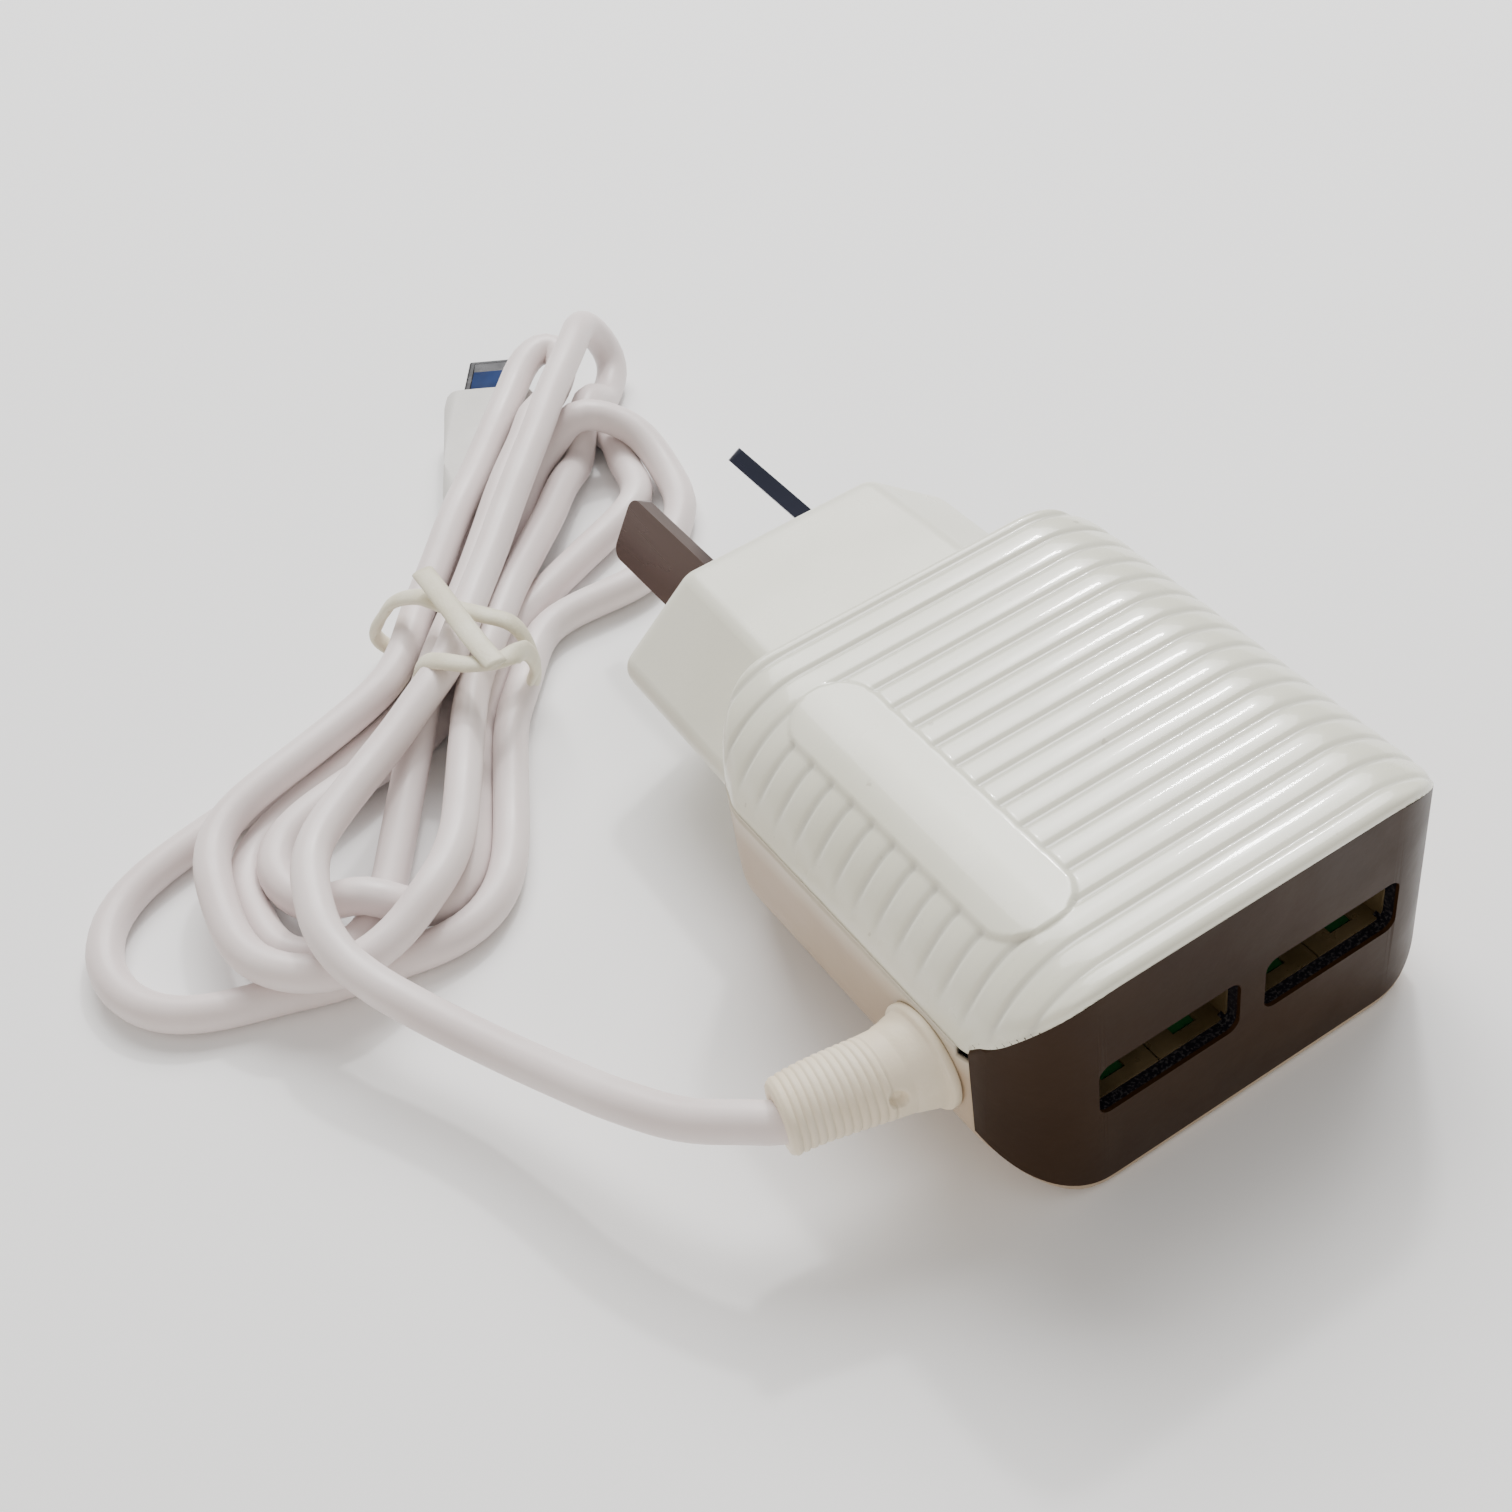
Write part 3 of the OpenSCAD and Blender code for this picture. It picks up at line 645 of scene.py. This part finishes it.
# %% [markdown]
# ## Steel shells of the ports
# Each port has a sheet-steel shell with a seam along its floor. Windows are open in its floor and its roof
# near the mouth, and a spring leaf slopes below each window of the floor. Booleans could cut the windows,
# but straight cuts keep the sheet in clean quads: the faces of the windows and the seam are taken out, and
# the wall is given its thickness.

# %% Port shells
sheet_t, mouth_out = 0.25, 0.7
for name in ("usb_shell_left", "usb_shell_right"):
    low, high = [Vector(c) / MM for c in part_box(name)]
    middle = (low + high) / 2
    mouth_y = low.y - mouth_out
    bm = bmesh.new()
    bmesh.ops.create_cube(bm, size=1)
    bmesh.ops.scale(bm, vec=(high.x - low.x - 0.2, high.y - mouth_y, high.z - low.z - 0.2), verts=bm.verts)
    bmesh.ops.translate(bm, vec=(middle.x, (high.y + mouth_y) / 2, middle.z), verts=bm.verts)
    cuts = [((middle.x + x, 0, 0), (1, 0, 0)) for x in (-4.5, -2.3, -0.06, 0.06, 2.3, 4.5)]
    cuts += [((0, mouth_y + y, 0), (0, 1, 0)) for y in (1.1, 3.6)]
    for spot, normal in cuts:
        cut_across(bm, spot, normal)
    gone = [f for f in bm.faces if f.normal.y < -0.9]
    for f in bm.faces:
        centre = f.calc_center_median() - Vector((middle.x, mouth_y, middle.z))
        window = abs(f.normal.z) > 0.9 and 2.3 < abs(centre.x) < 4.5 and 1.1 < centre.y < 3.6
        seam = f.normal.z < -0.9 and abs(centre.x) < 0.06
        if window or seam:
            gone.append(f)
    bmesh.ops.delete(bm, geom=gone, context="FACES")
    for side in (-1, 1):
        leaf = bmesh.ops.create_grid(bm, x_segments=2, y_segments=4, size=0.5)["verts"]
        bmesh.ops.scale(bm, vec=(2.6, 3.6, 1), verts=leaf)
        for v in leaf:
            v.co.z = 0.2 * v.co.y - 0.75
        bmesh.ops.translate(bm, vec=(middle.x + 3.4 * side, mouth_y + 2.5, low.z + 0.1), verts=leaf)
    socket = add_piece(name + "_skin", bm, [name], smooth=False)
    sheet = socket.modifiers.new("sheet", "SOLIDIFY")
    sheet.thickness, sheet.offset = sheet_t * MM, 0

# %% [markdown]
# ## Softened edges on the engineering parts
# The panel and the blades have the right shape already. They could be modelled again with rounded edges, but
# their places would have to be matched. So their triangles are welded and their sharp edges get a small
# round, by modifiers only, and the parts themselves stay as they are.

# %% Weld and round
def soften(name, radius, segments=3):
    part = nodes[name]
    weld = part.modifiers.new("weld", "WELD")
    weld.merge_threshold = 0.002 * MM
    edge = part.modifiers.new("edge", "BEVEL")
    edge.width, edge.segments = radius * MM, segments
    edge.limit_method, edge.angle_limit = "ANGLE", math.radians(35)
    edge.use_clamp_overlap = True
    level_normals(part)
    print(name, "has edges rounded to", radius, "mm")


soften("front_panel", 0.22)
for name in ("blade_left", "blade_right"):
    soften(name, 0.18)

# %% [markdown]
# ## Finishes
# Moulded plastics, rubber and metals share one recipe: a slow noise mixes two close colours, a second one
# varies the gloss, and a fine one gives the grain. Each finish differs in scale, strength and gloss. A
# separate tree for each would allow more, but one recipe keeps them easy to compare.

# %% Finish recipe
def node(tree, kind, **values):
    """A shader node with its settings; what isn't one of its settings is one of its inputs."""
    made = tree.nodes.new(kind)
    for key, value in values.items():
        if hasattr(made, key):
            setattr(made, key, value)
        else:
            made.inputs[key.replace("_", " ")].default_value = value
    return made


def noise(tree, scale, detail=4.0, stretch=None):
    place = node(tree, "ShaderNodeTexCoord")
    made = node(tree, "ShaderNodeTexNoise")
    made.inputs["Scale"].default_value = scale
    made.inputs["Detail"].default_value = detail
    source = place.outputs["Object"]
    if stretch:
        mapping = node(tree, "ShaderNodeMapping")
        mapping.inputs["Scale"].default_value = stretch
        tree.links.new(source, mapping.inputs["Vector"])
        source = mapping.outputs["Vector"]
    tree.links.new(source, made.inputs["Vector"])
    return made.outputs["Fac"]


def blend(tree, factor, low, high, start=0.35, stop=0.65):
    ramp = node(tree, "ShaderNodeValToRGB")
    ramp.color_ramp.elements[0].position, ramp.color_ramp.elements[1].position = start, stop
    ramp.color_ramp.elements[0].color, ramp.color_ramp.elements[1].color = (*low, 1), (*high, 1)
    tree.links.new(factor, ramp.inputs["Fac"])
    return ramp.outputs["Color"]


def colour(red, green, blue):
    """A colour given as it looks on a screen, 0 to 255, as the linear values that a shader needs."""
    return [((c / 255 + 0.055) / 1.055) ** 2.4 if c > 10 else c / 255 / 12.92 for c in (red, green, blue)]


def finish(name, low, high, patch, gloss, grain, grain_scale, stretch=None, **shader):
    material = bpy.data.materials.new(name)
    material.use_nodes = True
    tree = material.node_tree
    surface = tree.nodes["Principled BSDF"]
    for key, value in shader.items():
        surface.inputs[key.replace("_", " ")].default_value = value
    base = blend(tree, noise(tree, patch, stretch=stretch), colour(*low), colour(*high))
    tree.links.new(base, surface.inputs["Base Color"])
    rough = node(tree, "ShaderNodeMapRange")
    rough.inputs["From Min"].default_value, rough.inputs["From Max"].default_value = 0.3, 0.7
    rough.inputs["To Min"].default_value, rough.inputs["To Max"].default_value = gloss
    tree.links.new(noise(tree, patch * 3.3, 6, stretch), rough.inputs["Value"])
    tree.links.new(rough.outputs["Result"], surface.inputs["Roughness"])
    bump = node(tree, "ShaderNodeBump")
    bump.inputs["Strength"].default_value = grain
    bump.inputs["Distance"].default_value = 0.0002
    tree.links.new(noise(tree, grain_scale, 3, stretch), bump.inputs["Height"])
    tree.links.new(bump.outputs["Normal"], surface.inputs["Normal"])
    return material


def give(material, *names):
    for name in names:
        part = bpy.data.objects[name] if name in bpy.data.objects else nodes[name]
        part.data.materials.clear()
        part.data.materials.append(material)
    print(material.name, "is on", ", ".join(names))


def over(material, factor, paint, amount=1.0):
    """Lays a second colour over the finish where factor is high."""
    tree = material.node_tree
    base = tree.nodes["Principled BSDF"].inputs["Base Color"]
    under = base.links[0].from_socket
    mix = node(tree, "ShaderNodeMix", data_type="RGBA")
    strength = node(tree, "ShaderNodeMath", operation="MULTIPLY")
    strength.inputs[1].default_value = amount
    tree.links.new(factor, strength.inputs[0])
    tree.links.new(strength.outputs[0], mix.inputs["Factor"])
    tree.links.new(under, mix.inputs[6])
    mix.inputs[7].default_value = (*colour(*paint), 1)
    tree.links.new(mix.outputs[2], base)

# %% [markdown]
# ## White plastics
# The cover is glossy and slightly cream, with a little painted shade in its grooves. The lower shell is satin,
# and a darker warm tan is painted towards its foot as painted shade and warm bounce light. The block is satin
# and cleaner. The painted groove shade could come from a pointiness node, but that needs one renderer, so it
# reads the depth that the cover's mesh keeps.

# %% Housing finishes
cover_white = finish("glossy_cover", (226, 225, 206), (233, 232, 215), 60, (0.24, 0.34), 0.006, 60,
                     Coat_Weight=0.4, Coat_Roughness=0.05)
painted_shade_below, painted_shade_ends_above = 0.0135, 0.0185  # heights in metres
tree = cover_white.node_tree
# Painted shade: the grooves are darkened by the depth that the cover's mesh keeps.
depth = node(tree, "ShaderNodeAttribute", attribute_name="groove")
over(cover_white, depth.outputs["Fac"], (196, 195, 184), 0.5)
specks = blend(tree, noise(tree, 700, 2), (0, 0, 0), (1, 1, 1), 0.74, 0.78)
over(cover_white, specks, (150, 140, 120), 0.35)
give(cover_white, "ribbed_cover")

# Painted shade and warm bounce light: the lower shell's tan base stands in for them, and it fades to white
# higher up.
shell_with_painted_shade = finish("satin_shell_painted_shade", (172, 151, 126), (182, 162, 137), 45, (0.3, 0.42), 0.08, 1500)
tree = shell_with_painted_shade.node_tree
place = node(tree, "ShaderNodeTexCoord")
split = node(tree, "ShaderNodeSeparateXYZ")
tree.links.new(place.outputs["Object"], split.inputs[0])
rise = node(tree, "ShaderNodeMapRange")
rise.inputs["From Min"].default_value, rise.inputs["From Max"].default_value = painted_shade_below, painted_shade_ends_above
tree.links.new(split.outputs["Z"], rise.inputs["Value"])
over(shell_with_painted_shade, rise.outputs["Result"], (228, 225, 208), 0.92)
give(shell_with_painted_shade, "lower_shell_skin")

give(finish("satin_block", (224, 223, 207), (231, 230, 216), 55, (0.26, 0.38), 0.06, 1600),
     "plug_block_skin")
give(finish("brown_panel", (42, 24, 7), (50, 31, 12), 70, (0.3, 0.42), 0.05, 1200,
            Specular_IOR_Level=0.12), "front_panel")

# %% [markdown]
# ## Painted shade and dust in the ports
# Inside the mouths of the ports the panel behind its front face is painted near-black, as painted shade. Dust
# has settled there too. It could be a separate piece, but it has no thickness, so it is laid over the panel's
# colour behind its front face.

# %% Painted shade and dust in the port mouths
mouth_depth, mouth_reach = 0.35, 14.6
panel_brown = bpy.data.materials["brown_panel"]
tree = panel_brown.node_tree
place = node(tree, "ShaderNodeTexCoord")
split = node(tree, "ShaderNodeSeparateXYZ")
tree.links.new(place.outputs["Object"], split.inputs[0])
behind = node(tree, "ShaderNodeMath", operation="GREATER_THAN")
tree.links.new(split.outputs["Y"], behind.inputs[0])
behind.inputs[1].default_value = (front_y + mouth_depth) * MM
aside = node(tree, "ShaderNodeMath", operation="ABSOLUTE")
tree.links.new(split.outputs["X"], aside.inputs[0])
inside = node(tree, "ShaderNodeMath", operation="LESS_THAN")
tree.links.new(aside.outputs[0], inside.inputs[0])
inside.inputs[1].default_value = mouth_reach * MM
mouth = node(tree, "ShaderNodeMath", operation="MULTIPLY")
tree.links.new(behind.outputs[0], mouth.inputs[0])
tree.links.new(inside.outputs[0], mouth.inputs[1])
# Painted shade: the panel behind its front face, in the port mouths, is painted near-black.
over(panel_brown, mouth.outputs[0], (15, 16, 24), 0.95)
grit = node(tree, "ShaderNodeMath", operation="MULTIPLY")
tree.links.new(mouth.outputs[0], grit.inputs[0])
tree.links.new(blend(tree, noise(tree, 4200, 2), (0, 0, 0), (1, 1, 1), 0.5, 0.66), grit.inputs[1])
over(panel_brown, grit.outputs[0], (110, 108, 108), 0.3)

# %% [markdown]
# ## Cord, boot, tie and small plug
# Cord rubber is soft and slightly pink. The boot is matt cream, and the tie is a coated strip with a coarser
# grain. The small plug's shell is dark, and its upper face is blued. The blue could be a mask in one
# material, but a second material on the flat face is simpler.

# %% Cord finishes
give(finish("cord_rubber", (224, 212, 210), (232, 222, 220), 90, (0.34, 0.48), 0.05, 2500), "charging_cord")
give(finish("boot_rubber", (224, 209, 182), (233, 221, 198), 150, (0.5, 0.62), 0.1, 3000), "ringed_boot")
give(finish("tie_coating", (214, 207, 182), (224, 219, 198), 300, (0.4, 0.55), 0.2, 4000),
     "twist_tie_strip")
give(finish("grip_rubber", (206, 204, 199), (214, 212, 208), 120, (0.42, 0.55), 0.1, 2600), "plug_grip")
give(finish("dark_rim", (20, 20, 24), (34, 33, 36), 250, (0.25, 0.4), 0.05, 2500, Metallic=0.5),
     "plug_shell_skin")
blued_steel = finish("blued_steel", (2, 26, 66), (4, 38, 88), 250, (0.5, 0.6), 0.04, 2500,
                     Specular_IOR_Level=0.1)
plug_shell.data.materials.append(blued_steel)
for face in plug_shell.data.polygons:
    face.material_index = 1 if face.normal.z > 0.9 and face.area > 10 * MM ** 2 else 0

# %% [markdown]
# ## Metals and inner parts
# Nickel on the blades is brushed along their length, so their noise is stretched that way. Both blades carry
# painted reflections: the near one is brown-grey, and the far one is painted a darker, bluer reflection in a
# finish of its own. Most inner parts are seen only when the housing is opened. They could share one dark
# finish, but each has that of the real component.

# %% Metal and component finishes
# Painted reflections: the near blade's brown-grey and the far blade's darker blue stand in for the surround
# that they mirror.
give(finish("brushed_nickel_painted_reflection", (88, 72, 67), (96, 80, 74), 60, (0.26, 0.38), 0.05, 1800, stretch=(1, 0.1, 1),
            Metallic=0.8), "blade_left")
give(finish("nickel_painted_dark_reflection", (30, 34, 50), (40, 43, 60), 120, (0.26, 0.38), 0.05, 1800, stretch=(1, 0.1, 1),
            Metallic=0.5), "blade_right")
tinned = finish("tinned_steel", (92, 78, 52), (116, 100, 72), 260, (0.25, 0.4), 0.08, 1500, Metallic=0.35)
give(tinned, "usb_shell_left_skin", "usb_shell_right_skin")
black = finish("black_nylon", (16, 16, 18), (26, 26, 28), 300, (0.35, 0.5), 0.1, 2500)
give(black, "usb_tongue_left", "usb_tongue_right", "plug_tongue", "transformer_bobbin")
gold = finish("gold_contact", (190, 150, 70), (214, 176, 96), 400, (0.2, 0.32), 0.05, 3000, Metallic=1.0)
give(gold, "usb_contacts_left", "usb_contacts_right", "plug_contacts")
give(finish("board_mask", (28, 84, 44), (36, 98, 52), 120, (0.25, 0.4), 0.1, 1500), "main_board")
give(finish("ferrite", (44, 42, 42), (60, 58, 57), 500, (0.6, 0.75), 0.3, 3000), "transformer_core")
give(finish("yellow_tape", (226, 188, 40), (236, 202, 60), 150, (0.3, 0.45), 0.1, 800),
     "transformer_winding")
give(finish("dark_sleeve", (22, 26, 44), (32, 38, 60), 150, (0.25, 0.4), 0.05, 1500),
     "input_capacitors", "output_capacitors")
give(finish("epoxy", (26, 26, 28), (36, 36, 38), 400, (0.5, 0.65), 0.2, 3500), "bridge_rectifier",
     "optocoupler", "controller_chip", "output_diode", "chip_resistors")
give(finish("green_resistor", (62, 116, 78), (76, 132, 92), 300, (0.4, 0.5), 0.1, 2500), "fusible_resistor")
give(finish("blue_disc", (36, 98, 186), (50, 114, 200), 250, (0.35, 0.5), 0.1, 2000), "y_capacitor")
give(finish("wire_jacket", (176, 30, 28), (192, 42, 38), 250, (0.4, 0.5), 0.05, 2500),
     "mains_leads", "cord_wires")

# %% [markdown]
# ## Floor and light
# A plain pale floor, a broad soft key from the upper right and behind, a weak warm fill from the left, and
# an even pale surround. One lamp could light it all, but a broad lamp gives soft shadows and no sparkle, so a
# small lamp above the ribs adds their thin bright streaks.

# %% Stage
bm = bmesh.new()
bmesh.ops.create_grid(bm, x_segments=1, y_segments=1, size=3)
mesh = bpy.data.meshes.new("floor")
bm.to_mesh(mesh)
bm.free()
floor = bpy.data.objects.new("floor", mesh)
bpy.context.collection.objects.link(floor)
pale = finish("pale_floor", (246, 246, 246), (250, 250, 250), 3, (0.6, 0.7), 0.02, 100)
floor.data.materials.append(pale)


def soft_light(name, spot, aim, size, power, tint=(1, 1, 1)):
    data = bpy.data.lights.new(name, "AREA")
    data.shape, data.size, data.size_y, data.energy = "RECTANGLE", size[0], size[1], power
    data.color = tint
    light = bpy.data.objects.new(name, data)
    light.location = spot
    light.rotation_euler = (Vector(aim) - Vector(spot)).to_track_quat("-Z", "Y").to_euler()
    bpy.context.collection.objects.link(light)
    print(name, "light of", power, "watts")


centre = (0, 0, 0.01)
soft_light("key", (0.4, 0.6, 0.85), centre, (0.9, 0.7), 17)
soft_light("fill", (-0.6, -0.3, 0.25), centre, (0.6, 0.4), 0.8, (1, 0.8, 0.62))
soft_light("glint", (0.3, 0.3, 0.46), centre, (0.05, 0.03), 1.3)
world = bpy.data.worlds.new("surround")
world.use_nodes = True
world.node_tree.nodes["Background"].inputs["Color"].default_value = (1, 0.98, 0.95, 1)
world.node_tree.nodes["Background"].inputs["Strength"].default_value = 0.62
bpy.context.scene.world = world
